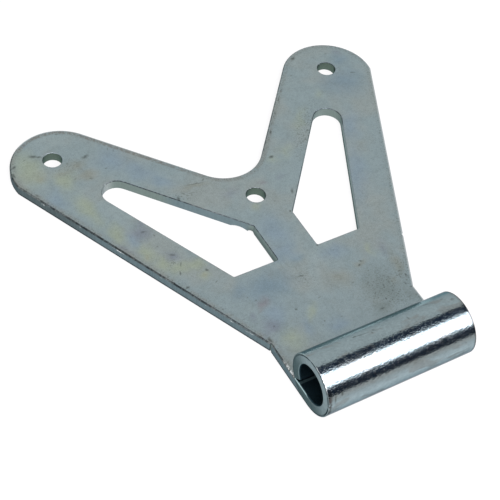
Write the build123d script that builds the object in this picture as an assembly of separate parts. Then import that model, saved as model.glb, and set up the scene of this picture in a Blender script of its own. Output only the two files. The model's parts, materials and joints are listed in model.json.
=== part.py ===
"""Butterfly hinge leaf: one steel plate with two wings, rolled at its neck into an eye for a pin.

The plate lies flat. X runs along the pin, Y from the pin towards the wings, Z up, all in
millimetres. The origin is the middle of the pin bore. The neck runs flat under the bore, curls
up in front of it and over the top, and its free end stops just short of the plate's top face.
"""
import os
from math import acos, asin, atan2, cos, degrees, hypot, radians, sin

from build123d import *

# Sheet and eye
PLATE_THICKNESS = 5.0
PIN_BORE = 18.0                 # inside diameter of the rolled eye
EYE_LENGTH = 73.0               # along the pin, which is also the width of the neck
SEAM_GAP = 0.3                  # between the eye's free end and the plate's top face

# Outer shape, Y measured from the pin's axis
NECK_REACH = 29.9               # where the sides turn out from the neck
LOBE_X = 73.3                   # middle of a wing's round end
LOBE_Y = 161.1
LOBE_RADIUS = 23.1
SIDE_CORNER_ANGLE = -10.0       # where the straight outer side meets the round end
NOTCH_Y = 140.0                 # middle of the round notch between the wings
NOTCH_RADIUS = 19.4

# Cutouts, one in each wing, with rims about 20 mm wide all round them
CENTRE_STRAP = 20.6             # plate left standing between the two cutouts
CUTOUT_BASE_Y = 68.8            # straight base, square to the strap
CUTOUT_BASE_REACH = 32.75       # from the middle line to the base's outer corner
CUTOUT_STRAP_Y = 90.7           # where the straight inner side leaves the strap
CUTOUT_END_X = 56.8             # middle of the round end
CUTOUT_END_Y = 135.2
CUTOUT_END_RADIUS = 7.0

# Bolt holes
HOLE_DIAMETER = 9.0
WING_HOLE_PITCH = 150.0
WING_HOLE_Y = 166.0
CENTRE_HOLE_Y = 106.7

# Edges: the punch rolls the top ones over, and the lower ones are only broken
TOP_ROLL = 0.8
CUTOUT_ROLL = 0.5
HOLE_ROLL = 0.4
LOWER_BREAK = 0.3
CUTOUT_CORNER_RADIUS = 0.9

# Marks of the punch and of wear
CORNER_RELIEF_RADIUS = 0.5      # where the punch's strokes overlap, at both neck corners
NICK_Y = 57.0                   # small nick in the right wing's outer side
NICK_RADIUS = 0.7
CHIP_PLACES = (1.0, 6.8)        # chips in the left cutout's lower edge, from its upper strap corner
CHIP_HALF_LENGTHS = (1.7, 4.4)
CHIP_DEPTH = 1.0

TOUCH = 1e-4                    # edges closer to a plane than this lie in it

BORE_RADIUS = PIN_BORE / 2
EYE_RADIUS = BORE_RADIUS + PLATE_THICKNESS
PLATE_TOP = -BORE_RADIUS
PLATE_BOTTOM = -EYE_RADIUS
HALF_NECK = EYE_LENGTH / 2
FREE_END_ANGLE = -degrees(asin((BORE_RADIUS - SEAM_GAP) / EYE_RADIUS))


def polar(centre, radius, angle):
    """Point on a circle, with the angle in degrees from +X."""
    return Vector(centre[0] + radius * cos(radians(angle)), centre[1] + radius * sin(radians(angle)))


def arc(centre, radius, start, end):
    """Arc about a centre, from one angle to another in degrees."""
    middle = (start + end) / 2
    return ThreePointArc(*(polar(centre, radius, a) for a in (start, middle, end)))


def inner_side_normal():
    """Direction from the notch's centre square onto the wing's straight inner side, in degrees."""
    run, rise = LOBE_X, LOBE_Y - NOTCH_Y
    lean = acos((LOBE_RADIUS + NOTCH_RADIUS) / hypot(run, rise))
    return degrees(atan2(rise, run) - lean)


def side_corners():
    """Ends of the right wing's straight outer side: at the neck and at the round end."""
    return Vector(HALF_NECK, NECK_REACH), polar((LOBE_X, LOBE_Y), LOBE_RADIUS, SIDE_CORNER_ANGLE)


def blank_face():
    """Flat outline of neck and wings, seen from above, before the neck is rolled."""
    lobe, notch = (LOBE_X, LOBE_Y), (0.0, NOTCH_Y)
    neck_corner, side_end = side_corners()
    normal = inner_side_normal()
    inner_start = polar(lobe, LOBE_RADIUS, normal + 180)
    inner_end = polar(notch, NOTCH_RADIUS, normal)
    right = [
        Line((0, 0), (HALF_NECK, 0)),
        Line((HALF_NECK, 0), neck_corner),
        Line(neck_corner, side_end),
        arc(lobe, LOBE_RADIUS, SIDE_CORNER_ANGLE, normal + 180),
        Line(inner_start, inner_end),
        arc(notch, NOTCH_RADIUS, normal, -90),
    ]
    left = [edge.mirror(Plane.YZ) for edge in right]
    return Face(Wire(right + left))


def tangent_angle(point, side):
    """Where a line from a point touches the cutout's round end, in degrees; side is 1 or -1."""
    run, rise = point[0] - CUTOUT_END_X, point[1] - CUTOUT_END_Y
    spread = acos(CUTOUT_END_RADIUS / hypot(run, rise))
    return degrees(atan2(rise, run) + side * spread)


def cutout_face():
    """Opening in the right wing: square to the strap at its base and round at its end."""
    end = (CUTOUT_END_X, CUTOUT_END_Y)
    strap_corner = (CENTRE_STRAP / 2, CUTOUT_STRAP_Y)
    base_corner = (CENTRE_STRAP / 2, CUTOUT_BASE_Y)
    outer_corner = (CUTOUT_BASE_REACH, CUTOUT_BASE_Y)
    outer_angle = tangent_angle(outer_corner, 1)
    inner_angle = tangent_angle(strap_corner, -1) + 360
    face = Face(Wire([
        Line(strap_corner, base_corner),
        Line(base_corner, outer_corner),
        Line(outer_corner, polar(end, CUTOUT_END_RADIUS, outer_angle)),
        arc(end, CUTOUT_END_RADIUS, outer_angle, inner_angle),
        Line(polar(end, CUTOUT_END_RADIUS, inner_angle), strap_corner),
    ]))
    corners = [v for v in face.vertices() if v.Y < CUTOUT_STRAP_Y + CUTOUT_CORNER_RADIUS]
    return fillet(corners, CUTOUT_CORNER_RADIUS).face()


def hole_faces():
    """The three bolt holes: one near the end of each wing and one on the middle line."""
    half = WING_HOLE_PITCH / 2
    centres = [(-half, WING_HOLE_Y), (0.0, CENTRE_HOLE_Y), (half, WING_HOLE_Y)]
    return [(Pos(x, y) * Circle(HOLE_DIAMETER / 2)).face() for x, y in centres]


def rolled_eye():
    """The neck's curl round the pin, from under the bore to its free end above the plate."""
    end = FREE_END_ANGLE - 360
    outside = arc((0, 0), EYE_RADIUS, -90, end)
    inside = arc((0, 0), BORE_RADIUS, end, -90)
    section = Face(Wire([
        outside,
        Line(outside @ 1, inside @ 0),
        inside,
        Line(inside @ 1, outside @ 0),
    ]))
    placed = Plane(origin=(-HALF_NECK, 0, 0), x_dir=(0, 1, 0), z_dir=(1, 0, 0)) * section
    return extrude(placed, EYE_LENGTH, dir=(1, 0, 0))


def side_notch(x, y, radius):
    """Round bite through the plate's full thickness, to cut out of one of its sides."""
    return Pos(x, y, (PLATE_TOP + PLATE_BOTTOM) / 2) * Cylinder(radius, 2 * PLATE_THICKNESS)


def punch_marks():
    """Reliefs at the neck corners, and the nick in the right wing's straight outer side."""
    neck_corner, side_end = side_corners()
    reliefs = [side_notch(x, NECK_REACH, CORNER_RELIEF_RADIUS) for x in (-HALF_NECK, HALF_NECK)]
    along = (NICK_Y - neck_corner.Y) / (side_end.Y - neck_corner.Y)
    nick = neck_corner + (side_end - neck_corner) * along
    return reliefs + [side_notch(nick.X, nick.Y, NICK_RADIUS)]


def chip(place, half_length):
    """Shallow scallop broken out of the left cutout's lower edge, near its upper strap corner."""
    normal = radians(tangent_angle((CENTRE_STRAP / 2, CUTOUT_STRAP_Y), -1))
    strap_corner = Vector(-CENTRE_STRAP / 2, CUTOUT_STRAP_Y, PLATE_BOTTOM)
    along_edge = Vector(-sin(normal), -cos(normal))
    into_air = Vector(cos(normal), -sin(normal), -1).normalized()
    radius = (half_length ** 2 + CHIP_DEPTH ** 2) / (2 * CHIP_DEPTH)
    centre = strap_corner + along_edge * place + into_air * (radius - CHIP_DEPTH)
    return Pos(*centre) * Sphere(radius)


def rim(leaf, outline, z):
    """Edges that follow a flat face's outline at one height, without the line where the curl starts."""
    line = Pos(0, 0, z) * outline.outer_wire()
    return [e for e in leaf.edges() if line.distance_to(e @ 0.5) < TOUCH and (e @ 0.5).Y > TOUCH]


def eye_ends(leaf, radius):
    """The curl's round edges of one radius, one at each end of the eye."""
    circles = leaf.edges().filter_by(GeomType.CIRCLE)
    at_ends = [e for e in circles if abs(abs((e @ 0.5).X) - HALF_NECK) < TOUCH]
    return [e for e in at_ends if abs(e.radius - radius) < TOUCH and abs(e.arc_center.Y) < TOUCH]


def hinge_leaf():
    """The whole leaf, with its edges rolled and broken."""
    blank, right_cutout, holes = blank_face(), cutout_face(), hole_faces()
    cutouts = [right_cutout, right_cutout.mirror(Plane.YZ)]
    flat = Pos(0, 0, PLATE_BOTTOM) * (blank - cutouts - holes)
    leaf = extrude(flat, PLATE_THICKNESS, dir=(0, 0, 1)) + rolled_eye()
    leaf = fillet(rim(leaf, blank, PLATE_TOP) + eye_ends(leaf, BORE_RADIUS), TOP_ROLL)
    for cutout in cutouts:
        leaf = fillet(rim(leaf, cutout, PLATE_TOP), CUTOUT_ROLL)
    for hole in holes:
        leaf = fillet(rim(leaf, hole, PLATE_TOP), HOLE_ROLL)
    lower = [e for outline in (blank, *cutouts, *holes) for e in rim(leaf, outline, PLATE_BOTTOM)]
    leaf = fillet(lower + eye_ends(leaf, EYE_RADIUS), LOWER_BREAK)
    leaf = leaf - punch_marks()
    return leaf - [chip(place, half) for place, half in zip(CHIP_PLACES, CHIP_HALF_LENGTHS)]


os.makedirs("parts", exist_ok=True)
export_step(hinge_leaf(), "parts/hinge_leaf.step")
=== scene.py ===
"""Finish, light and camera for one zinc-plated leaf of a butterfly hinge.

The leaf is a single sheet-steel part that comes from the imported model. Its plate lies flat on the
floor, X runs along the pin, Y from the pin towards the wings and Z up. The origin is the middle of
the pin bore. Places and sizes are written in millimetres, and MM turns them into metres.
"""
from __future__ import annotations

import json
import logging
import math
from collections.abc import Mapping, Sequence
from dataclasses import dataclass, field
from enum import Enum

import bpy
from mathutils import Matrix, Vector

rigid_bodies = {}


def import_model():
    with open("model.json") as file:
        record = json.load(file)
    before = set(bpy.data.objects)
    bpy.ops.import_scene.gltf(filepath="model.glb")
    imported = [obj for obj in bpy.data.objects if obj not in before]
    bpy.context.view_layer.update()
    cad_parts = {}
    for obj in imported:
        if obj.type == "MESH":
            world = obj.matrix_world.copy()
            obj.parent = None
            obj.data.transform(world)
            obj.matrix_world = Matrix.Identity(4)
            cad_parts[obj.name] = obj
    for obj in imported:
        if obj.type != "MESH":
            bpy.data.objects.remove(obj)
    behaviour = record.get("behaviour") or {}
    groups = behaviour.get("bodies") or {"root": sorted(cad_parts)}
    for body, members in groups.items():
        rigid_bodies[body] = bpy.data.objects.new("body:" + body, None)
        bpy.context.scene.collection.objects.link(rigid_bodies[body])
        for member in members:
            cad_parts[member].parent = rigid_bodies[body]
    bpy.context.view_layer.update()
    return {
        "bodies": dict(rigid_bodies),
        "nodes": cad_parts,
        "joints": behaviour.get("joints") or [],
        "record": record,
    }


LOG = logging.getLogger("hinge_leaf")
MM = 0.001
NODE = "hinge_leaf"

SPOT_RIM = 1.3        # distance at which a spot has faded out, in its half sizes
NO_SPOT = 2.0         # distance that stands for no spot
FAINTEST = 0.9        # what a spot without strength would add to its distance
NEGLIGIBLE = 1000.0   # scale that makes a mapping's third part too small to count

Colour = tuple[float, float, float]
Place = tuple[float, float, float]
Span = tuple[float, float]

WHITE: Colour = (1.0, 1.0, 1.0)


class Axis(Enum):
    """One axis of a vector, named as its output socket is."""

    X = "X"
    Y = "Y"
    Z = "Z"


class Field:
    """One socket of a material, so that shader maths reads as an expression.

    Attributes:
        graph: The material that is being built.
        socket: The socket that gives the value.
    """

    def __init__(self, graph: Graph, socket: bpy.types.NodeSocket) -> None:
        """Wraps a socket of a graph."""
        self.graph = graph
        self.socket = socket

    def _math(self, operation: str, *values: Field | float) -> Field:
        """Adds one Math node over this field and some values.

        Args:
            operation: The Math node's operation.
            values: The other operands, in order.

        Returns:
            The node's result.
        """
        inputs = {index: value for index, value in enumerate((self, *values))}
        return self.graph.add("ShaderNodeMath", {"operation": operation}, inputs)

    def __add__(self, other: Field | float) -> Field:
        """Sum."""
        return self._math("ADD", other)

    def __radd__(self, other: float) -> Field:
        """Sum with a number first."""
        return self._math("ADD", other)

    def __sub__(self, other: Field | float) -> Field:
        """Difference."""
        return self._math("SUBTRACT", other)

    def __rsub__(self, other: float) -> Field:
        """Difference with a number first."""
        return -self + other

    def __mul__(self, other: Field | float) -> Field:
        """Product."""
        return self._math("MULTIPLY", other)

    def __rmul__(self, other: float) -> Field:
        """Product with a number first."""
        return self._math("MULTIPLY", other)

    def __pow__(self, other: Field | float) -> Field:
        """Power."""
        return self._math("POWER", other)

    def __neg__(self) -> Field:
        """Negative."""
        return self._math("MULTIPLY", -1.0)

    def __abs__(self) -> Field:
        """Size without its sign."""
        return self._math("ABSOLUTE")

    def larger(self, other: Field | float) -> Field:
        """The larger of two values."""
        return self._math("MAXIMUM", other)

    def smaller(self, other: Field | float) -> Field:
        """The smaller of two values."""
        return self._math("MINIMUM", other)

    def part(self, axis: Axis) -> Field:
        """One part of a vector field."""
        return self.graph.add("ShaderNodeSeparateXYZ", {}, {0: self}, axis.value)

    def length(self) -> Field:
        """Length of a vector field."""
        return self.graph.add("ShaderNodeVectorMath", {"operation": "LENGTH"}, {0: self}, "Value")

    def rise(self, low: float, high: float) -> Field:
        """Smooth step from 0 to 1, or from 1 to 0 where low is above high.

        Args:
            low: Where the step starts.
            high: Where the step ends.

        Returns:
            The step, held between 0 and 1.
        """
        if low > high:
            return 1 - self.rise(high, low)
        stops = {"Value": self, "From Min": low, "From Max": high}
        return self.graph.add("ShaderNodeMapRange", {"interpolation_type": "SMOOTHSTEP"}, stops)

    def band(self, low: float, high: float, soft: float) -> Field:
        """1 between two values and 0 outside, with soft ends."""
        return self.rise(low - soft, low + soft) * self.rise(high + soft, high - soft)

    def rise_mm(self, low: float, high: float) -> Field:
        """The smooth step between two places in millimetres."""
        return self.rise(low * MM, high * MM)

    def band_mm(self, low: float, high: float, soft: float) -> Field:
        """The soft band between two places in millimetres."""
        return self.band(low * MM, high * MM, soft * MM)


class Graph:
    """Builds one material's nodes.

    Attributes:
        material: The material.
        tree: Its node tree.
    """

    def __init__(self, name: str) -> None:
        """Starts an empty material.

        Args:
            name: The material's name.
        """
        self.material = bpy.data.materials.new(name)
        self.material.use_nodes = True
        self.tree = self.material.node_tree
        self.tree.nodes.clear()

    def add(
        self,
        kind: str,
        settings: Mapping[str, object],
        inputs: Mapping[int | str, object],
        output: int | str = 0,
    ) -> Field:
        """Adds one node.

        Args:
            kind: The node's type.
            settings: Its own settings, which are set first.
            inputs: A value or a field for each input, by number or name.
            output: The output that the caller wants.

        Returns:
            That output as a field.
        """
        node = self.tree.nodes.new(kind)
        for name, value in settings.items():
            setattr(node, name, value)
        for key, value in inputs.items():
            if isinstance(value, Field):
                self.tree.links.new(value.socket, node.inputs[key])
            else:
                node.inputs[key].default_value = value
        return Field(self, node.outputs[output])

    def mix(self, factor: Field | float, first: Field | Colour, second: Field | Colour) -> Field:
        """Blends two colours.

        Args:
            factor: 0 for the first and 1 for the second.
            first: A colour field or a plain colour.
            second: A colour field or a plain colour.

        Returns:
            The blended colour.
        """
        return self._blend("MIX", factor, first, second)

    def tinted(self, factor: Field | float, first: Field | Colour, second: Field | Colour) -> Field:
        """Multiplies the first colour by the second, as far as the factor says."""
        return self._blend("MULTIPLY", factor, first, second)

    def _blend(
        self,
        mode: str,
        factor: Field | float,
        first: Field | Colour,
        second: Field | Colour,
    ) -> Field:
        """Adds one Mix node for colours, with the mode in which it blends them."""
        inputs = {0: factor, 6: _rgba(first), 7: _rgba(second)}
        return self.add("ShaderNodeMix", {"data_type": "RGBA", "blend_type": mode}, inputs, 2)

    def noise(
        self,
        place: Field,
        size_mm: float,
        detail: float = 2.0,
        roughness: float = 0.5,
    ) -> Field:
        """Soft noise between about 0.25 and 0.75.

        Args:
            place: Where to read it, in metres.
            size_mm: Size of its largest features.
            detail: Number of finer layers.
            roughness: Strength of the finer layers.

        Returns:
            The noise value.
        """
        scale = 1 / (size_mm * MM)
        inputs = {"Vector": place, "Scale": scale, "Detail": detail, "Roughness": roughness}
        return self.add("ShaderNodeTexNoise", {}, inputs)

    def scaled(self, place: Field, scale: Place, offset: Place = (0.0, 0.0, 0.0)) -> Field:
        """A place multiplied by a scale on each axis, then moved."""
        inputs = {0: place, 1: scale, 2: offset}
        return self.add("ShaderNodeVectorMath", {"operation": "MULTIPLY_ADD"}, inputs)

    def finished(self, shader: Field) -> bpy.types.Material:
        """Ends the material with one shader.

        Args:
            shader: The shader that the surface shows.

        Returns:
            The material.
        """
        output = self.tree.nodes.new("ShaderNodeOutputMaterial")
        self.tree.links.new(shader.socket, output.inputs["Surface"])
        return self.material


def _rgba(colour: Field | Colour) -> Field | tuple[float, float, float, float]:
    """A plain colour with its alpha, or a field as it is."""
    return colour if isinstance(colour, Field) else (*colour, 1.0)


def srgb(red: int, green: int, blue: int) -> Colour:
    """Turns a colour as a screen shows it into the linear values that shaders use.

    Args:
        red: Red, from 0 to 255.
        green: Green, from 0 to 255.
        blue: Blue, from 0 to 255.

    Returns:
        The linear colour.
    """

    def linear(value: int) -> float:
        """One channel."""
        share = value / 255
        return share / 12.92 if share <= 0.04045 else ((share + 0.055) / 1.055) ** 2.4

    return linear(red), linear(green), linear(blue)


@dataclass(frozen=True)
class Spot:
    """A soft oval on the leaf, with its sizes in millimetres.

    Attributes:
        across: Place along the pin.
        up: Place from the pin towards the wings, or round the eye from its top to its front.
        wide: Half size across.
        tall: Half size the other way.
        turn: Turn anticlockwise, in degrees.
        strength: From 0 to 1.
    """

    across: float
    up: float
    wide: float
    tall: float
    turn: float = 0.0
    strength: float = 1.0

    def nearer(self, graph: Graph, across: Field, up: Field, nearest: Field | float) -> Field:
        """Distance to this spot or to the nearest one so far.

        The distance so far goes through the mapping as a third part too small to count. That makes
        the spots follow each other, and the renderer then holds few values at a time.

        Args:
            graph: The material that is being built.
            across: Place along the pin, in metres.
            up: Place the other way on the flat or unrolled sheet, in metres.
            nearest: Distance to the nearest spot before this one.

        Returns:
            0 in the middle of a spot and 1 at its rim, and more all over where it is faint.
        """
        inputs = {
            "Vector": graph.add("ShaderNodeCombineXYZ", {}, {0: across, 1: up, 2: nearest}),
            "Location": (self.across * MM, self.up * MM, 0.0),
            "Rotation": (0.0, 0.0, math.radians(self.turn)),
            "Scale": (self.wide * MM, self.tall * MM, NEGLIGIBLE),
        }
        own = graph.add("ShaderNodeMapping", {"vector_type": "TEXTURE"}, inputs).length()
        own = own if self.strength == 1 else own + (1 - self.strength) * FAINTEST
        return own.smaller(nearest)


@dataclass(frozen=True)
class Cloud:
    """One tint of the plating and the places where it lies.

    Attributes:
        colour: The tint.
        spots: The places.
    """

    colour: Colour
    spots: tuple[Spot, ...]


YELLOW_GREEN = Cloud(srgb(152, 162, 144), (
    Spot(-88, 165, 9, 14), Spot(-75, 152, 6, 8), Spot(-73, 131, 5, 13, 5), Spot(-68, 113, 5, 8),
    Spot(-61, 97, 5, 8, 10), Spot(-57, 88, 6, 7), Spot(-51, 83, 7, 5), Spot(-45, 82, 6, 4),
    Spot(-44, 75, 6, 5, 0, 0.7), Spot(18, 123, 9, 7, 0, 0.4), Spot(44, 141, 7, 20, -40, 0.4),
    Spot(27, 125, 7, 12, -40, 0.35), Spot(-27, 28, 7, 8, 0, 0.8), Spot(62, 151, 9, 8, 0, 0.3),
    Spot(-4, 100, 5, 4, 0, 0.6), Spot(30, 56, 3, 8, 0, 0.5), Spot(-12, 38, 4, 9, -30, 0.6),
))
PALE = Cloud(srgb(146, 160, 162), (
    Spot(-70, 178, 14, 5), Spot(-63, 124, 4, 10, 20), Spot(2, 58, 4, 17, -32), Spot(12, 70, 4, 5),
    Spot(-30, 133, 6, 3, -45, 0.5), Spot(-48, 104, 4, 12, 25, 0.6),
))
OCHRE = Cloud(srgb(152, 154, 136), (
    Spot(-84, 158, 6, 7, 0, 0.5), Spot(-62, 94, 3, 5, 0, 0.5), Spot(-44, 75, 4, 4, 0, 0.4),
))
BROWN = Cloud(srgb(138, 143, 135), (
    Spot(-67, 159, 8, 5), Spot(-65, 151, 6, 4), Spot(-74, 157, 5, 3, 0, 0.6),
    Spot(-23, 123, 10, 2, -8, 0.8), Spot(-18, 61, 4, 4, 0, 0.6), Spot(10, 47, 9, 8, 0, 0.6),
    Spot(22, 52, 5, 3, 0, 0.7), Spot(37, 44, 3, 9, -15, 0.9), Spot(31, 36, 5, 6, 0, 0.6),
))
BLUE = Cloud(srgb(131, 149, 161), (
    Spot(-84, 142, 5, 8), Spot(-63, 106, 5, 5), Spot(-50, 155, 9, 10), Spot(-42, 143, 6, 12, 40),
    Spot(-36, 133, 5, 8, 40), Spot(-3, 84, 8, 14), Spot(-6, 72, 9, 7), Spot(50, 98, 6, 24, -28),
    Spot(64, 126, 6, 14, -28), Spot(-27, 43, 8, 5, 40), Spot(15, 62, 8, 5), Spot(-5, 27, 6, 5),
    Spot(-17, 32, 4, 8, -20, 0.7), Spot(-84, 178, 5, 3, 30, 0.5), Spot(30, 104, 5, 8, -40, 0.4),
))
DEEP_BLUE = Cloud(srgb(120, 140, 152), (
    Spot(78, 154, 13, 13), Spot(-22, 57, 15, 9), Spot(-34, 60, 8, 8, 0, 0.7),
    Spot(84, 168, 7, 7, 0, 0.7), Spot(-2, 66, 8, 5, 0, 0.5),
))
VIOLET = Cloud(srgb(122, 130, 141), (
    Spot(-58, 108, 6, 5), Spot(-52, 92, 5, 4, 0, 0.9), Spot(-32, 38, 6, 4),
    Spot(-56, 113, 3, 4, 0, 0.8), Spot(86, 173, 6, 5, 0, 0.5), Spot(36, 54, 5, 9, 0, 0.4),
    Spot(-69, 104, 2, 8, 25, 0.6), Spot(16, 112, 7, 4, 0, 0.4), Spot(-10, 113, 9, 5, 0, 0.4),
    Spot(-36, 45, 3, 5, 0, 0.6),
))
PINK = Cloud(srgb(128, 126, 132), (
    Spot(-29, 50, 6, 4, 20, 0.8), Spot(6, 112, 4, 2.5, 0, 0.5), Spot(-31, 47, 4, 3, 0, 0.5),
))
GREEN_GREY = Cloud(srgb(122, 134, 133), (
    Spot(24, 36, 12, 13, 10), Spot(18, 26, 6, 4), Spot(33, 27, 4, 9, 0, 0.7),
    Spot(36, 40, 3, 8, -20, 0.6),
))
CLOUDS = (YELLOW_GREEN, PALE, OCHRE, BROWN, BLUE, DEEP_BLUE, VIOLET, PINK, GREEN_GREY)

BOLT_HOLES = (Spot(-75, 166, 6.5, 6.5), Spot(0, 106.7, 6.5, 6.5), Spot(75, 166, 6.5, 6.5))

FRECKLED = (
    Spot(24, 34, 13, 16), Spot(36, 40, 5, 12, -15), Spot(44, 132, 9, 24, -38),
    Spot(-52, 88, 4, 11, -25, 0.7), Spot(-70, 160, 16, 14, 0, 0.5), Spot(-30, 120, 12, 6, 0, 0.7),
    Spot(-45, 48, 5, 16, 25), Spot(-5, 55, 8, 8, 0, 0.6),
)

EYE_SCUFFS = (
    Spot(-14, -5.6, 1.2, 0.5), Spot(-11, -5.2, 4.5, 0.4, 8, 0.7), Spot(-5.2, -5, 0.9, 0.6, 40, 0.8),
    Spot(-6.5, -4, 0.5, 0.9, 0, 0.6), Spot(11, -3.6, 0.4, 1.4, 0, 0.7),
    Spot(22, -7.2, 3.2, 0.4, 4, 0.6), Spot(30, -6.2, 1.6, 0.8, 20, 0.5),
    Spot(33.5, -3.6, 1.6, 1.2, 0, 0.6), Spot(18, -6, 0.7, 0.6, 0, 0.5),
    Spot(-30, 15.2, 0.7, 1.5, 10, 0.9), Spot(-35.2, 14.5, 1.2, 3.5, 0, 0.8),
    Spot(-35.6, 20, 0.6, 9, 0, 0.8), Spot(-33.2, 16.5, 0.6, 2.6, 10, 0.9),
    Spot(31, 17, 1.1, 0.5, 30, 0.5), Spot(27.5, 18.4, 0.6, 0.5, 0, 0.5),
    Spot(-2, 14.8, 1.4, 0.3, 0, 0.5),
)

# Bright marks along the top of the near side: rubbed metal and painted highlight.
SIDE_RUBBED_AND_GLINT = (
    Spot(104.3, -10, 3.2, 0.35), Spot(107.4, -10.2, 1, 0.3, 0, 0.8),
    Spot(83, -10.3, 1.2, 0.2, 0, 0.5), Spot(143.5, -10.4, 1.3, 0.6, 0, 0.8),
    Spot(124, -10.1, 1.2, 0.25, 0, 0.6), Spot(48.5, -10.1, 1, 0.35, 0, 0.9),
    Spot(40.3, -10.3, 2.4, 0.4, -8), Spot(15.5, -9.15, 5.5, 0.22),
    Spot(61, -10.2, 0.8, 0.25, 0, 0.5), Spot(26.5, -9.9, 1.6, 0.22, 0, 0.5),
)

# Place of the nick in the right side, where a painted highlight lies.
NICK = Spot(49.2, 57, 1.2, 1.2)

PITS = (
    Spot(-82.2, 171.6, 2.8, 1.2, -25, 0.9), Spot(-80, 170.3, 2, 0.9, -20, 0.8),
    Spot(-87, 171, 1.8, 0.5, 10, 0.5), Spot(-60.5, 161.5, 2.8, 1.4, 20, 0.8),
    Spot(-64, 148, 1.6, 0.8, -10, 0.5), Spot(-70.5, 150.8, 1.2, 0.6, 30, 0.5),
    Spot(-55, 150.7, 1.3, 0.8, 0, 0.5), Spot(-66.5, 180.3, 1.8, 0.7, 0, 0.5),
    Spot(-92.8, 168.9, 1.4, 0.9, 40, 0.9), Spot(-95, 164.2, 0.9, 1.8, 0, 0.9),
    Spot(-90.3, 148.5, 1, 1.8, 20, 0.6), Spot(-49, 161.5, 2, 0.6, 60, 0.5),
    Spot(-47, 159.6, 2.4, 0.5, 60, 0.5), Spot(-33.5, 119.5, 1, 2.2, -20, 0.9),
    Spot(-30, 121.5, 0.7, 1.8, 30, 0.6), Spot(-22, 124.6, 8, 0.5, -10, 0.6),
    Spot(-17.5, 125.4, 1.5, 0.9, 30, 0.6), Spot(18.7, 124.6, 1.5, 1, 20),
    Spot(36.3, 126.4, 1, 0.6, 0, 0.7), Spot(16.5, 101.5, 0.9, 2.2, -25, 0.8),
    Spot(6, 99.5, 1, 0.7, 0, 0.5), Spot(-6, 56.3, 2, 0.7, -20, 0.8),
    Spot(-5.6, 61, 0.5, 2, -30, 0.4), Spot(21, 50.3, 1.3, 0.6, 15, 0.8),
    Spot(22.8, 52, 1.5, 0.6, -30, 0.8), Spot(15, 62.8, 1.2, 0.6, 0, 0.4),
    Spot(-17.3, 41.4, 0.9, 0.8, 0, 0.9), Spot(-30.5, 53.3, 0.8, 0.6, 0, 0.6),
    Spot(-33.2, 56.2, 0.7, 0.6, 0, 0.5), Spot(-30.7, 37.6, 0.9, 0.7, 0, 0.6),
    Spot(-5, 42.5, 1.8, 0.7, 20, 0.5), Spot(13, 43.2, 1.6, 0.6, 0, 0.5),
    Spot(17, 25.2, 1.6, 0.5, 0, 0.8), Spot(23, 46, 0.8, 0.5, 0, 0.5),
    Spot(20, 38, 0.9, 0.4, 0, 0.5), Spot(24.5, 35.5, 0.5, 1.2, -20, 0.6),
    Spot(21.3, 29, 0.7, 1, -20, 0.6), Spot(28.5, 24.2, 0.7, 0.4, 0, 0.6),
    Spot(31.5, 25.5, 1.2, 0.4, 40, 0.6), Spot(34, 32.5, 0.7, 1.6, 20, 0.6), Spot(35.6, 30, 1, 0.6),
    Spot(36.8, 36.5, 0.8, 1.2, -20, 0.8), Spot(-9.5, 30.6, 0.8, 0.6, 0, 0.6),
    Spot(-1.5, 29.5, 0.9, 0.7, 0, 0.5), Spot(-11.3, 29.2, 0.7, 0.5, 0, 0.5),
    Spot(63.3, 179.2, 1.6, 1.1, 40), Spot(85.6, 158, 1.8, 0.7, -20, 0.7),
    Spot(56, 169, 1.6, 1, 0, 0.4), Spot(80.5, 175.5, 1.8, 1, 0, 0.4),
    Spot(-53, 80.8, 0.5, 1.8, -25, 0.8), Spot(-50.5, 85, 0.5, 3, -28, 0.6),
    Spot(-51.5, 91.5, 2.4, 0.9, -30, 0.6), Spot(-57, 108.8, 2.2, 1, 0, 0.6),
    Spot(-55, 98.5, 0.8, 0.8, 0, 0.5), Spot(-41.7, 77.3, 0.9, 1.1, 20, 0.9),
    Spot(-53.8, 72.3, 1.2, 0.8, 0, 0.9), Spot(-41, 69.8, 1.2, 0.4, 20, 0.6),
    Spot(26.6, 138.8, 1.6, 0.6, 60), Spot(30, 143.6, 2.6, 0.35, 50, 0.7),
    Spot(35.2, 149.3, 2.2, 0.5, 50, 0.7), Spot(42, 157.2, 3, 0.5, 50, 0.7),
    Spot(45.8, 161.4, 1.6, 0.5, 50, 0.7), Spot(9.3, 91.3, 0.7, 0.9, 0, 0.9),
    Spot(10, 68.5, 0.9, 0.6, 0, 0.9), Spot(-64.5, 128.5, 0.5, 0.8, 0, 0.5),
    Spot(-53.5, 105, 0.7, 1.4, 20, 0.5), Spot(-35.8, 32.2, 0.9, 1.8, 10),
)


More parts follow.
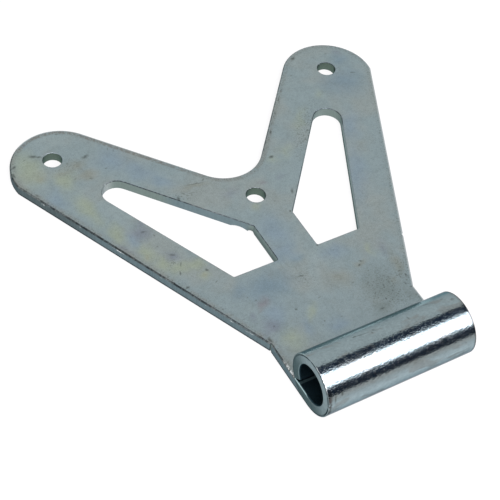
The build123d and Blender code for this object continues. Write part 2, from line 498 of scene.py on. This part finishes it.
@dataclass
class Surface:
    """The coordinates and the noise that the leaf's finish reads.

    Attributes:
        graph: The material that is being built.
        place: Object coordinates.
        x: Along the pin.
        y: From the pin towards the wings.
        z: Up.
        aside: Distance from the middle line, along the pin.
        upward: How far the surface faces up or down, from 0 to 1.
        endward: How far it faces along the pin, from 0 to 1.
        around: Distance from the pin's axis.
        mottle: Noise of a few millimetres.
        grain: Noise of about a millimetre.
        fine: Noise of under half a millimetre.
    """

    graph: Graph
    place: Field = field(init=False)
    x: Field = field(init=False)
    y: Field = field(init=False)
    z: Field = field(init=False)
    aside: Field = field(init=False)
    upward: Field = field(init=False)
    endward: Field = field(init=False)
    around: Field = field(init=False)
    mottle: Field = field(init=False)
    grain: Field = field(init=False)
    fine: Field = field(init=False)

    def __post_init__(self) -> None:
        """Reads the coordinates and makes the shared noise."""
        self.place = self.graph.add("ShaderNodeTexCoord", {}, {}, "Object")
        normal = self.graph.add("ShaderNodeTexCoord", {}, {}, "Normal")
        self.x, self.y, self.z = (self.place.part(axis) for axis in Axis)
        self.aside = abs(self.x)
        self.upward, self.endward = abs(normal.part(Axis.Z)), abs(normal.part(Axis.X))
        self.around = (self.y * self.y + self.z * self.z) ** 0.5
        self.mottle = self.graph.noise(self.place, 5.0, 3.0, 0.6)
        self.grain = self.graph.noise(self.place, 1.2, 3.0, 0.65)
        self.fine = self.graph.noise(self.place, 0.45, 1.0, 0.5)

    def warped(self, size_mm: float, reach_mm: float) -> Field:
        """The flat sheet shifted by noise, so that what is drawn on it gets an uneven outline.

        Args:
            size_mm: Size of the noise.
            reach_mm: How far it shifts a place, from one extreme to the other.

        Returns:
            The shifted place.
        """
        flat = self.graph.scaled(self.place, (1.0, 1.0, 0.0))
        inputs = {"Vector": flat, "Scale": 1 / (size_mm * MM), "Detail": 2.0}
        noise = self.graph.add("ShaderNodeTexNoise", {}, inputs, "Color")
        reach = reach_mm * MM
        shift = self.graph.scaled(noise, (reach, reach, 0.0), (-reach / 2, -reach / 2, 0.0))
        return self.graph.add("ShaderNodeVectorMath", {"operation": "ADD"}, {0: flat, 1: shift})

    def joined(self, across: Field, up: Field, spots: Sequence[Spot]) -> Field:
        """One mask over several spots, each soft at its rim.

        Args:
            across: Place that the spots' first number is read on.
            up: Place that their second number is read on.
            spots: The spots.

        Returns:
            The mask.
        """
        nearest: Field | float = NO_SPOT
        for spot in spots:
            nearest = spot.nearer(self.graph, across, up, nearest)
        return nearest.rise(SPOT_RIM, 0.0)

    def shaded(self, colour: Field | Colour, level: Field) -> Field:
        """A colour made lighter or darker by a level about 1."""
        grey = self.graph.add("ShaderNodeCombineXYZ", {}, {0: level, 1: level, 2: level})
        return self.graph.tinted(1.0, colour, grey)


@dataclass
class Zones:
    """Masks and distances that tell the parts of the leaf from each other.

    Attributes:
        at: The leaf's surface.
        sizes: The leaf's sizes.
        flank: Distance inside the straight outer sides alone, in metres.
        inset: Distance inside the whole outline, in metres.
        outer: The outline's sides, but not the walls of the openings.
        beside: Strip along the straight outer sides.
        left: Left half.
        left_wing: Left wing, from the notch outwards.
        near: Outer side and round end of the left wing.
        far_wall: Outer wall of the right cutout.
        eye: The eye and what lies inside it.
        left_eye: Left half of the eye.
        end: Faces that look along the pin.
        inside: The bore, and the gap beside the curl's free end.
    """

    at: Surface
    sizes: HingeLeaf
    flank: Field = field(init=False)
    inset: Field = field(init=False)
    outer: Field = field(init=False)
    beside: Field = field(init=False)
    left: Field = field(init=False)
    left_wing: Field = field(init=False)
    near: Field = field(init=False)
    far_wall: Field = field(init=False)
    eye: Field = field(init=False)
    left_eye: Field = field(init=False)
    end: Field = field(init=False)
    inside: Field = field(init=False)

    def __post_init__(self) -> None:
        """Makes the masks from the leaf's sizes."""
        at, radius = self.at, self.sizes.eye_radius
        self.flank, self.inset = self.sizes.insets(at)
        self.outer = self.inset.rise_mm(0.5, 0.1)
        self.beside = self.flank.rise_mm(4, 3)
        self.left = at.x.rise_mm(0.0, -1.0)
        self.left_wing = at.x.rise_mm(-16, -26)
        self.near = self.flank.rise_mm(1.2, 0.8).larger(at.x.rise_mm(-84, -90)) * self.left
        self.far_wall = at.x.rise_mm(28, 31) * at.y.rise_mm(131, 126)
        self.eye = at.around.rise_mm(radius + 0.5, radius + 0.15)
        self.left_eye = at.x.rise_mm(1.0, -1.0)
        self.end = at.endward.rise(0.7, 0.95)
        self.inside = self.sizes.inside(at)


@dataclass(frozen=True)
class ZincPlating:
    """Satin zinc plating over punched and rolled sheet, with its wear.

    Attributes:
        base: Blue-grey of the plating.
        warm: Green-grey that it drifts to.
        pit: Dirt in pits and scuffs.
        rim: Brown cast beside the outer edges.
        rust: Brown line beside the outer edges.
        rim_highlight: Painted highlight on the rolled outer edges away from the near side, and
            painted light on the left cutout's lit end.
        dark_shade: Painted shade: dark lines in the rolled edges, at the foot of the sides, in the
            ring line and beside the strap.
        side: Sheared outer side.
        side_end: The same round the end of the left wing.
        wall: Walls of the cutouts.
        wall_green: The same at the cutouts' ends and beside the strap.
        wall_lit: Painted light on the right cutout's round end and on the upper half of its outer
            wall.
        wall_shaded: Painted shade on the lower half of that wall.
        hole: Walls of the bolt holes.
        rubbed_and_glint: Bright metal: rubbed-through plating, and painted highlight.
        eye: The eye's outside.
        eye_brown_and_shade: Brown smears on it, and painted shade in a band round its upper front.
        eye_sheen: Painted sheen on its front, lighter and bluer.
        eye_back_light: Painted light on its back beside the plate, where it mirrors the plate.
        eye_back_shade: Painted shade on its back past the plate's corner.
        lip: Grime on the left brink's lower front, and a dark line along the right brink.
        end: The eye's end faces, with painted light at the top and the front.
        end_shade: The same with painted shade beside the plate and below.
        bore: Inside of the eye, darkened as painted shade.
        glint: Light on the curl's free end, inside the bore.
        specular_tint: Tint of the light that the metal mirrors at a glance.
        cloud_strength: How far the clouds hide the base.
        plate_roughness: Roughness of the plate.
        eye_roughness: Roughness of the eye's outside.
        bore_roughness: Roughness that the bore has on top of the plate's.
    """

    base: Colour = srgb(138, 153, 156)
    warm: Colour = srgb(143, 153, 152)
    pit: Colour = srgb(80, 88, 84)
    rim: Colour = srgb(128, 130, 126)
    rust: Colour = srgb(104, 94, 86)
    rim_highlight: Colour = srgb(196, 203, 203)
    dark_shade: Colour = srgb(36, 42, 44)
    side: Colour = srgb(108, 125, 130)
    side_end: Colour = srgb(93, 105, 107)
    wall: Colour = srgb(117, 135, 140)
    wall_green: Colour = srgb(124, 139, 135)
    wall_lit: Colour = srgb(150, 165, 162)
    wall_shaded: Colour = srgb(80, 102, 94)
    hole: Colour = srgb(96, 112, 103)
    rubbed_and_glint: Colour = srgb(236, 242, 242)
    eye: Colour = srgb(134, 149, 153)
    eye_brown_and_shade: Colour = srgb(127, 132, 131)
    eye_sheen: Colour = srgb(154, 171, 176)
    eye_back_light: Colour = srgb(176, 202, 205)
    eye_back_shade: Colour = srgb(112, 138, 142)
    lip: Colour = srgb(82, 80, 79)
    end: Colour = srgb(142, 158, 161)
    end_shade: Colour = srgb(88, 104, 105)
    bore: Colour = srgb(45, 66, 74)
    glint: Colour = srgb(112, 143, 146)
    specular_tint: Colour = (0.4, 0.45, 0.48)
    cloud_strength: float = 0.78
    plate_roughness: float = 0.4
    eye_roughness: float = 0.13
    bore_roughness: float = 0.35

    def build(self, sizes: HingeLeaf) -> bpy.types.Material:
        """Makes the material.

        Args:
            sizes: The leaf's sizes, which say where each zone lies.

        Returns:
            The finished material.
        """
        graph = Graph("zinc_plated_steel")
        zones = Zones(Surface(graph), sizes)
        top, pits = self._top(zones)
        colour = graph.mix(zones.at.upward.rise(0.3, 0.12), top, self._walls(zones))
        colour = self._rubbed_and_glints(zones, self._edges(zones, colour))
        colour = graph.mix(zones.eye, colour, self._eye(zones))
        relief = {"Strength": 1.0, "Distance": MM, "Height": self._height(zones)}
        inputs = {
            "Base Color": colour,
            "Metallic": 1.0,
            "Roughness": self._roughness(zones, pits),
            "Specular Tint": _rgba(self.specular_tint),
            "Normal": graph.add("ShaderNodeBump", {}, relief),
        }
        return graph.finished(graph.add("ShaderNodeBsdfPrincipled", {}, inputs))

    def _roughness(self, zones: Zones, pits: Field) -> Field:
        """Roughness of plate, eye and bore.

        Args:
            zones: The leaf's parts.
            pits: Mask of the pits in the plate.

        Returns:
            The roughness.
        """
        end = zones.end * zones.eye
        plate = self.plate_roughness + (zones.at.mottle - 0.5) * 0.2 + pits * 0.15
        rough = plate + (self.eye_roughness - plate) * zones.eye * (1 - end)
        return rough + zones.inside * (1 - end) * self.bore_roughness

    def _height(self, zones: Zones) -> Field:
        """Fine grain of plate and eye.

        Args:
            zones: The leaf's parts.

        Returns:
            The height of the grain, in millimetres.
        """
        at = zones.at
        plate = (at.grain * 0.03 + at.fine * 0.008) * (1 - zones.eye)
        ripple = at.graph.noise(at.place, 0.8, 0.0)
        grit = at.graph.noise(at.place, 0.5, 0.0).rise(0.54, 0.68)
        return plate + (ripple * 0.042 + grit * 0.016) * zones.eye

    def _top(self, zones: Zones) -> tuple[Field, Field]:
        """Colour of the flat faces.

        Args:
            zones: The leaf's parts.

        Returns:
            The colour, and the mask of the pits in it.
        """
        at, inset = zones.at, zones.inset
        graph = at.graph
        warmth = graph.noise(at.place, 30.0, 3.0, 0.55).rise(0.4, 0.62)
        colour = graph.mix(warmth, self.base, self.warm)
        drift = at.warped(9.0, 8.0)
        across, up = drift.part(Axis.X), drift.part(Axis.Y)
        for cloud in CLOUDS:
            cover = at.joined(across, up, cloud.spots) * self.cloud_strength
            colour = graph.mix(cover, colour, cloud.colour)
        brown = inset.rise_mm(3.6, 0.8) * at.mottle.rise(0.35, 0.6)
        brown = brown * (1 - at.x.rise_mm(20, 45) * 0.7)
        colour = graph.mix(brown * 0.55, colour, self.rim)
        shade = 1 + (at.mottle - 0.5) * 0.26 + (at.grain - 0.5) * 0.5 + (at.fine - 0.5) * 0.48
        colour = at.shaded(colour, shade)

        freckles = at.joined(across, up, FRECKLED).larger(inset.rise_mm(4.0, 0.5) * 0.8)
        dots = graph.noise(at.place, 0.8, 2.0, 0.6).rise(0.56, 0.63) * freckles
        specks = (at.grain.rise(0.6, 0.68) * (0.25 + freckles * 0.75)).larger(dots)
        colour = graph.mix(specks * 0.65, colour, self.pit)
        ragged = at.warped(1.1, 1.1)
        pits = at.joined(ragged.part(Axis.X), ragged.part(Axis.Y), PITS)
        return graph.mix(pits * 0.85, colour, self.pit), pits

    def _walls(self, zones: Zones) -> Field:
        """Colour of the sheared sides and of the walls of the openings.

        Args:
            zones: The leaf's parts.

        Returns:
            The colour.
        """
        at, top, bottom = zones.at, zones.sizes.top, zones.sizes.bottom
        graph = at.graph
        by_strap = at.y.rise_mm(94, 91)
        inner = graph.mix(at.y.rise_mm(119, 127).larger(by_strap), self.wall, self.wall_green)
        # Painted light on the upper half of the right cutout's outer wall, and painted shade on its
        # lower half.
        lower = at.z.rise_mm(bottom + 3.0, bottom + 1.8)
        inner = graph.mix(zones.far_wall, inner, graph.mix(lower, self.wall_lit, self.wall_shaded))
        round_end = at.y.rise_mm(128, 131) * 0.85
        # Painted light on the left cutout's far end.
        inner = graph.mix(round_end * at.x.rise_mm(-54, -60) * 0.7, inner, self.rim_highlight)
        # Painted light on the right cutout's round end.
        inner = graph.mix(round_end * at.x.band_mm(5, 57, 5), inner, self.wall_lit)
        shadow = by_strap * at.z.rise_mm(top - 1.5, bottom + 1.5)
        inner = graph.mix(shadow * 0.3, inner, self.dark_shade)
        holes = at.joined(at.x, at.y, BOLT_HOLES).rise(0.02, 0.08)
        inner = graph.mix(holes, inner, self.hole)

        side = graph.mix(at.x.rise_mm(-72, -86), self.side, self.side_end)
        streaks = graph.noise(graph.scaled(at.place, (1.0, 1.0, 0.05)), 0.7, 2.0, 0.7)
        shade = (streaks - 0.5) * (0.25 + zones.outer * 0.45) + (at.grain - 0.5) * 0.3
        wall = at.shaded(graph.mix(zones.outer, inner, side), 1 + shade)
        # Painted shade along the bottom of the outer sides, where they meet the floor.
        foot = at.z.rise_mm(bottom + 1.6, bottom + 0.4) * zones.outer
        return graph.mix(foot * 0.8, wall, self.dark_shade)

    def _edges(self, zones: Zones, colour: Field) -> Field:
        """Adds painted shade, rust and painted highlight on the rolled edges between the top and
        the sides.

        Args:
            zones: The leaf's parts.
            colour: Colour of the top and the sides.

        Returns:
            The colour.
        """
        at, inset, near, top = zones.at, zones.inset, zones.near, zones.sizes.top
        graph = at.graph
        wear = graph.noise(at.place, 1.5, 2.0, 0.6)
        level = at.z.rise_mm(top + 0.15, top + 0.03)

        # Painted shade: a dark line in the rolled top edges of the openings.
        roll = at.upward.rise(0.98, 0.9) * at.z.rise_mm(top - 0.5, top - 0.25) * level
        held = 0.5 + wear.rise(0.62, 0.45) * 0.3 + at.x.rise_mm(-26, -34) * 0.15
        held = held * (1 - at.x.rise_mm(-57, -61) * 0.75) * (1 - zones.far_wall * 0.8)
        colour = graph.mix(roll * (1 - zones.outer) * held, colour, self.dark_shade)

        line = inset.band_mm(1.1, 2.6, 0.3) * wear.rise(0.62, 0.44)
        line = line * (1 - near) * (1 - zones.beside)
        colour = graph.mix(line * (0.12 + zones.left_wing * 0.3), colour, self.rust)

        # Painted highlight along the rolled outer edges.
        edge = at.z.rise_mm(top - 0.8, top - 0.55) * level
        lit = (1 - near) * (0.1 + zones.left_wing.larger(zones.beside) * 0.5)
        colour = graph.mix(edge * inset.rise_mm(1.0, 0.5) * lit, colour, self.rim_highlight)

        # Painted shade: a broken dark line in the rolled edge along the near side, and a fainter
        # one along the inner edges on the right.
        long = graph.noise(at.place, 7.0, 3.0, 0.6).rise(0.58, 0.44)
        short = wear.rise(0.6, 0.45)
        edge_shade_share = 0.16 + at.x.rise_mm(-42, -60) * 0.2 + long * 0.33 + short * 0.25
        inner_side = at.x.rise_mm(12, 20) * (1 - zones.beside)
        edge_shade = inset.rise_mm(0.85, 0.45) * (near * edge_shade_share).larger(inner_side * short * 0.4)
        return graph.mix(edge * edge_shade, colour, self.dark_shade)

    def _rubbed_and_glints(self, zones: Zones, colour: Field) -> Field:
        """Adds bright marks along the near side, which are rubbed metal and painted highlight, and
        a painted highlight in the nick.

        Args:
            zones: The leaf's parts.
            colour: Colour of the top and the sides.

        Returns:
            The colour.
        """
        at = zones.at
        # Rubbed metal and painted highlight along the near side.
        rubbed_and_glint = at.joined(at.y, at.z, SIDE_RUBBED_AND_GLINT) * at.grain.rise(0.4, 0.52) * zones.left
        # Painted highlight in the nick.
        nick = at.joined(at.x, at.y, [NICK]).rise(0.05, 0.2) * at.upward.rise(0.6, 0.3)
        shining = (rubbed_and_glint * zones.flank.rise_mm(1.2, 0.9)).larger(nick)
        return at.graph.mix(shining, colour, self.rubbed_and_glint)

    def _eye(self, zones: Zones) -> Field:
        """Colour of the eye's outside, ends and bore.

        Args:
            zones: The leaf's parts.

        Returns:
            The colour.
        """
        at, sizes = zones.at, zones.sizes
        graph = at.graph
        turn = graph.add("ShaderNodeMath", {"operation": "ARCTAN2"}, {0: -at.y, 1: at.z})
        wear = graph.noise(at.place, 2.2, 2.0, 0.6)
        colour = self._brinks(zones, turn, wear, self._barrel(zones, turn))
        colour = graph.mix(zones.end, colour, self._end_face(zones, wear))

        # Bright specks on the left end's upper front brink: a ragged brink and painted highlight.
        burr_glint = at.around.rise_mm(sizes.eye_radius - 0.55, sizes.eye_radius - 0.25)
        burr_glint = burr_glint * at.aside.rise_mm(sizes.half_neck - 0.5, sizes.half_neck - 0.25)
        burr_glint = burr_glint * zones.left_eye * turn.band(0.1, 0.9, 0.1) * at.grain.rise(0.44, 0.54)
        colour = graph.mix(burr_glint, colour, self.rubbed_and_glint)

        # The bore's dark colour is painted shade, and its glint is a painted highlight.
        deep = at.y.band_mm(7.0, 8.1, 0.2) * at.z.rise_mm(sizes.top + 0.5, sizes.top + 0.2)
        bore = graph.mix(deep, self.bore, self.glint)
        return graph.mix(zones.inside * (1 - zones.end), colour, bore)

    def _barrel(self, zones: Zones, turn: Field) -> Field:
        """Colour of the eye's round outside.

        Args:
            zones: The leaf's parts.
            turn: Angle about the pin, from straight up towards the front.

        Returns:
            The colour.
        """
        at = zones.at
        graph = at.graph
        smears = graph.noise(graph.scaled(at.place, (0.4, 1.0, 1.0)), 5.0, 2.0, 0.6)
        # Painted sheen on the eye's front.
        colour = graph.mix(turn.band(1.34, 1.78, 0.15), self.eye, self.eye_sheen)
        # Painted shade in a brown band round the upper front.
        colour = graph.mix(turn.band(0.85, 1.2, 0.1) * 0.6, colour, self.eye_brown_and_shade)
        colour = graph.mix(smears.rise(0.5, 0.64) * 0.6, colour, self.eye_brown_and_shade)
        # Painted light on the eye's back beside the plate, and painted shade past the plate's
        # corner.
        back = graph.mix(at.x.rise_mm(20, 30), self.eye_back_light, self.eye_back_shade)
        colour = graph.mix(turn.rise(-0.52, -0.7), colour, back)
        shade = 1 + (at.grain - 0.5) * 0.4 + (at.mottle - 0.5) * 0.24
        colour = at.shaded(colour, shade)
        ragged = (at.grain - 0.5) * (1.2 * MM)
        unrolled = turn * (zones.sizes.eye_radius * MM)
        scuffs = at.joined(at.x + ragged, unrolled + ragged, EYE_SCUFFS)
        return graph.mix(scuffs * 0.85, colour, self.pit)

    def _brinks(self, zones: Zones, turn: Field, wear: Field, colour: Field) -> Field:
        """Adds the streaks, the grime and the dark line beside the eye's two ends.

        Args:
            zones: The leaf's parts.
            turn: Angle about the pin, from straight up towards the front.
            wear: Noise that breaks the dirt up.
            colour: Colour of the eye's outside.

        Returns:
            The colour.
        """
        at, half = zones.at, zones.sizes.half_neck
        graph = at.graph
        right = 1 - zones.left_eye
        turned = graph.noise(graph.scaled(at.place, (1.0, 0.12, 0.12)), 0.35, 1.0, 0.5)
        streaks = at.aside.rise_mm(half - 2.2, half - 0.2) * turned.rise(0.5, 0.62)
        colour = graph.mix(streaks * right * 0.7, colour, self.pit)
        dirty = at.aside.rise_mm(half - 2.0, half - 0.7) * zones.left_eye
        dirty = dirty * turn.rise(0.8, 0.95) * wear.rise(0.66, 0.42)
        colour = graph.mix(dirty, colour, self.lip)
        lip = at.aside.rise_mm(half - 0.9, half - 0.4)
        return graph.mix(lip * right * 0.8, colour, self.lip)

    def _end_face(self, zones: Zones, wear: Field) -> Field:
        """Colour of the eye's end faces, with painted light and shade and their painted dark ring
        line.

        Args:
            zones: The leaf's parts.
            wear: Noise that breaks the line up.

        Returns:
            The colour.
        """
        at, radius = zones.at, zones.sizes.eye_radius
        # Painted light at the top and front of the end faces and painted shade beside the plate and
        # below, with a painted dark ring line near their rim.
        lit = (at.z - at.y * 0.7).rise_mm(-10.0, 10.0)
        face = at.graph.mix(lit, self.end_shade, self.end)
        face = at.shaded(face, 1 + (at.grain - 0.5) * 0.6)
        ring = at.around.band_mm(radius - 1.1, radius - 0.4, 0.12)
        return at.graph.mix(ring * (0.35 + lit * 0.65) * wear.rise(0.78, 0.5), face, self.dark_shade)


@dataclass
class HingeLeaf:
    """The rolled and punched leaf, with the sizes that its finish follows.

    Attributes:
        bore_radius: Radius of the pin bore, in millimetres like all lengths here.
        eye_radius: Radius of the eye's outside.
        top: Height of the plate's top face.
        bottom: Height of its underside.
        half_neck: Half the length of the eye, which is half the width of the neck.
        neck_reach: Where the sides turn out from the neck.
        lobe: Middle of the right wing's round end.
        lobe_radius: Its radius.
        side_corner_angle: Where the straight outer side meets it, in degrees.
        notch_y: Middle of the round notch between the wings.
        notch_radius: Its radius.
        plating: The finish.
    """

    bore_radius: float = 9.0
    eye_radius: float = 14.0
    top: float = -9.0
    bottom: float = -14.0
    half_neck: float = 36.5
    neck_reach: float = 29.9
    lobe: Span = (73.3, 161.1)
    lobe_radius: float = 23.1
    side_corner_angle: float = -10.0
    notch_y: float = 140.0
    notch_radius: float = 19.4
    plating: ZincPlating = field(default_factory=ZincPlating)

    def inside(self, at: Surface) -> Field:
        """Mask of the bore and of the gap beside the curl's free end.

        Args:
            at: The leaf's surface.

        Returns:
            The mask, which also covers the end faces.
        """
        bore = at.around.rise_mm(self.bore_radius + 0.4, self.bore_radius + 0.2)
        gap = at.y.rise_mm(0.0, 0.5) * at.z.rise_mm(-4.0, -5.0)
        gap = gap * at.z.rise_mm(self.top - 0.2, self.top)
        free_end = at.around.rise_mm(self.eye_radius - 0.1, self.eye_radius - 0.3)
        return bore.larger(gap * free_end)

    def insets(self, at: Surface) -> tuple[Field, Field]:
        """Distances inside the leaf's outline, from above, in metres.

        Args:
            at: The leaf's surface.

        Returns:
            The distance inside the straight outer sides alone, and inside the whole outline.
        """
        across, y = at.aside, at.y
        lobe_x, lobe_y = self.lobe
        corner = math.radians(self.side_corner_angle)
        run = lobe_x + self.lobe_radius * math.cos(corner) - self.half_neck
        rise = lobe_y + self.lobe_radius * math.sin(corner) - self.neck_reach
        length = math.hypot(run, rise)
        neck = self.half_neck * MM - across
        side = (y - self.neck_reach * MM) * (run / length)
        side = side - (across - self.half_neck * MM) * (rise / length)
        flank = neck + (side - neck) * y.rise_mm(self.neck_reach, self.neck_reach + 0.01)

        above = lobe_y - self.notch_y
        lean = math.acos((self.lobe_radius + self.notch_radius) / math.hypot(lobe_x, above))
        normal = math.atan2(above, lobe_x) - lean
        up = y - self.notch_y * MM
        inner = across * math.cos(normal) + up * math.sin(normal) - self.notch_radius * MM
        notch = (across * across + up * up) ** 0.5 - self.notch_radius * MM
        along = up * math.cos(normal) - across * math.sin(normal)
        upper = notch + (inner - notch) * along.rise_mm(-0.01, 0.01)

        out, over = across - lobe_x * MM, y - lobe_y * MM
        cap = self.lobe_radius * MM - (out * out + over * over) ** 0.5
        beyond = (over * math.cos(normal) - out * math.sin(normal)).rise_mm(-1.0, 0.0)
        cap = cap + (1 - beyond)
        return flank, flank.smaller(upper).smaller(cap)

    def dress(self, frame: Mapping[str, Mapping]) -> bpy.types.Object:
        """Gives the leaf its plating.

        Args:
            frame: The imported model.

        Returns:
            The leaf.
        """
        leaf = frame["nodes"][NODE]
        leaf.data.materials.clear()
        leaf.data.materials.append(self.plating.build(self))
        return leaf


@dataclass(frozen=True)
class Card:
    """A black card beside the softbox, which the eye mirrors as a dark band.

    Attributes:
        name: The card's name.
        low: Its edge nearer the camera, as Y and Z in millimetres.
        high: Its other edge, as Y and Z in millimetres.
    """

    name: str
    low: Span
    high: Span


@dataclass
class Studio:
    """A white floor in a white room, with a long softbox and two black cards.

    The softbox and the cards run along the pin. Lengths are in millimetres, and angles in degrees
    about the pin, from straight up towards the front.

    Attributes:
        floor_z: Height of the floor.
        floor_size: Length of its sides.
        floor_grey: Share of the light that the bare floor gives back.
        floor_glow: How far it turns plain white for the camera and in the metal.
        softbox_distance: From the pin to the softbox.
        softbox_angles: Where the softbox starts and ends.
        softbox_colour: Its tint.
        softbox_length: Its length along the pin.
        softbox_watts: Its power.
        card_span: The cards' ends along the pin.
        card_colour: The little light that the cards give back.
        cards: The cards.
    """

    floor_z: float = -14.0
    floor_size: float = 6000.0
    floor_grey: float = 0.8
    floor_glow: float = 0.85
    softbox_distance: float = 900.0
    softbox_angles: Span = (14.3, 55.2)
    softbox_colour: Colour = (1.0, 0.93, 1.02)
    softbox_length: float = 2400.0
    softbox_watts: float = 25.0
    card_span: Span = (-600.0, 900.0)
    card_colour: Colour = (0.019, 0.033, 0.058)
    cards: tuple[Card, ...] = (
        Card("card_above", (-70.0, 500.0), (160.0, 500.0)),
        Card("card_in_front", (-300.0, -13.0), (-300.0, 165.0)),
    )

    def build(self) -> None:
        """Makes the floor, the room and the lights."""
        half = self.floor_size / 2
        edges = ((-half, self.floor_z), (half, self.floor_z))
        self._sheet("floor", (-half, half), edges, self._white())
        self._world()
        self._softbox()
        black = self._black()
        for card in self.cards:
            sheet = self._sheet(card.name, self.card_span, (card.low, card.high), black)
            sheet.visible_camera = False
            sheet.visible_diffuse = False

    def _sheet(
        self,
        name: str,
        span: Span,
        edges: tuple[Span, Span],
        material: bpy.types.Material,
    ) -> bpy.types.Object:
        """Makes one flat sheet for the stage.

        Args:
            name: Its name.
            span: Its ends along X, in millimetres.
            edges: Its two long edges, as Y and Z in millimetres.
            material: Its material.

        Returns:
            The sheet.
        """
        low, high = edges
        corners = [(x * MM, y * MM, z * MM) for x, (y, z) in zip(span * 2, (low, low, high, high))]
        mesh = bpy.data.meshes.new(name)
        mesh.from_pydata(corners, [], [(0, 1, 3, 2)])
        mesh.materials.append(material)
        sheet = bpy.data.objects.new(name, mesh)
        bpy.context.scene.collection.objects.link(sheet)
        return sheet

    def _white(self) -> bpy.types.Material:
        """Floor that shows white, apart from the leaf's faint shadow.

        Returns:
            The material.
        """
        graph = Graph("floor_white")
        seen = graph.add("ShaderNodeLightPath", {}, {}, "Is Camera Ray")
        mirrored = graph.add("ShaderNodeLightPath", {}, {}, "Is Glossy Ray")
        matt = graph.add("ShaderNodeBsdfDiffuse", {}, {"Color": _rgba((self.floor_grey,) * 3)})
        glow = graph.add("ShaderNodeEmission", {}, {"Color": _rgba(WHITE), "Strength": 1.0})
        share = seen.larger(mirrored) * self.floor_glow
        return graph.finished(graph.add("ShaderNodeMixShader", {}, {0: share, 1: matt, 2: glow}))

    def _black(self) -> bpy.types.Material:
        """Black cloth that gives back very little light.

        Returns:
            The material.
        """
        graph = Graph("card_black")
        cloth = graph.add("ShaderNodeBsdfDiffuse", {}, {"Color": _rgba(self.card_colour)})
        return graph.finished(cloth)

    def _world(self) -> None:
        """Plain white room."""
        world = bpy.data.worlds.new("room")
        bpy.context.scene.world = world
        world.use_nodes = True
        background = world.node_tree.nodes["Background"]
        background.inputs["Color"].default_value = _rgba(WHITE)
        background.inputs["Strength"].default_value = 1.0

    def _softbox(self) -> bpy.types.Object:
        """Long softbox between the two cards.

        Returns:
            The light.
        """
        low, high = (math.radians(a) for a in self.softbox_angles)
        middle, half = (low + high) / 2, (high - low) / 2
        data = bpy.data.lights.new("softbox", "AREA")
        data.shape = "RECTANGLE"
        data.size = self.softbox_length * MM
        data.size_y = 2 * self.softbox_distance * math.tan(half) * MM
        data.energy = self.softbox_watts
        data.color = self.softbox_colour
        light = bpy.data.objects.new("softbox", data)
        bpy.context.scene.collection.objects.link(light)
        reach = self.softbox_distance * MM
        light.location = (0.0, -reach * math.sin(middle), reach * math.cos(middle))
        light.rotation_euler = (middle, 0.0, 0.0)
        light.visible_camera = False
        return light


@dataclass(frozen=True)
class Viewpoint:
    """The photograph's camera, in millimetres and degrees.

    Attributes:
        target: Point on the floor in the middle of the view.
        distance: From the camera to the target.
        heading: Direction of view over the floor, from +X.
        elevation: Height of the camera above the floor, as an angle.
        roll: Turn of the frame about the line of sight.
        focal_pixels: Focal length in the frame's pixels.
        frame_pixels: Width of the frame.
        sensor_width: Width of the film.
        clip: Nearest and farthest distance that the camera sees, in metres.
    """

    target: Place = (-16.43, 82.45, -14.0)
    distance: float = 622.63
    heading: float = 54.45
    elevation: float = 49.76
    roll: float = 7.66
    focal_pixels: float = 1384.3
    frame_pixels: float = 500.0
    sensor_width: float = 36.0
    clip: Span = (0.01, 20.0)

    def build(self) -> bpy.types.Object:
        """Makes the camera and sets it as the scene's own.

        Returns:
            The camera.
        """
        angles = (self.heading, self.elevation, self.roll)
        heading, elevation, roll = (math.radians(angle) for angle in angles)
        flat = Vector((math.cos(heading), math.sin(heading), 0.0))
        forward = flat * math.cos(elevation) - Vector((0.0, 0.0, math.sin(elevation)))
        level_right = Vector((math.sin(heading), -math.cos(heading), 0.0))
        level_up = level_right.cross(forward)
        right = level_right * math.cos(roll) + level_up * math.sin(roll)
        up = level_up * math.cos(roll) - level_right * math.sin(roll)
        data = bpy.data.cameras.new("camera")
        data.sensor_width = self.sensor_width
        data.lens = data.sensor_width * self.focal_pixels / self.frame_pixels
        data.clip_start, data.clip_end = self.clip
        camera = bpy.data.objects.new("camera", data)
        bpy.context.scene.collection.objects.link(camera)
        place = (Vector(self.target) - forward * self.distance) * MM
        turned = Matrix((right, up, -forward)).transposed().to_4x4()
        camera.matrix_world = Matrix.Translation(place) @ turned
        bpy.context.scene.camera = camera
        return camera


def main() -> None:
    """Dresses the leaf, then adds the studio and the camera."""
    logging.basicConfig(level=logging.INFO, format="%(name)s: %(message)s")
    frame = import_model()
    leaf = HingeLeaf().dress(frame)
    LOG.info("%s dressed, %d faces", leaf.name, len(leaf.data.polygons))
    Studio().build()
    camera = Viewpoint().build()
    LOG.info("camera at %s", tuple(round(v, 4) for v in camera.location))
    bpy.context.scene.view_settings.view_transform = "Standard"


if __name__ == "__main__":
    main()
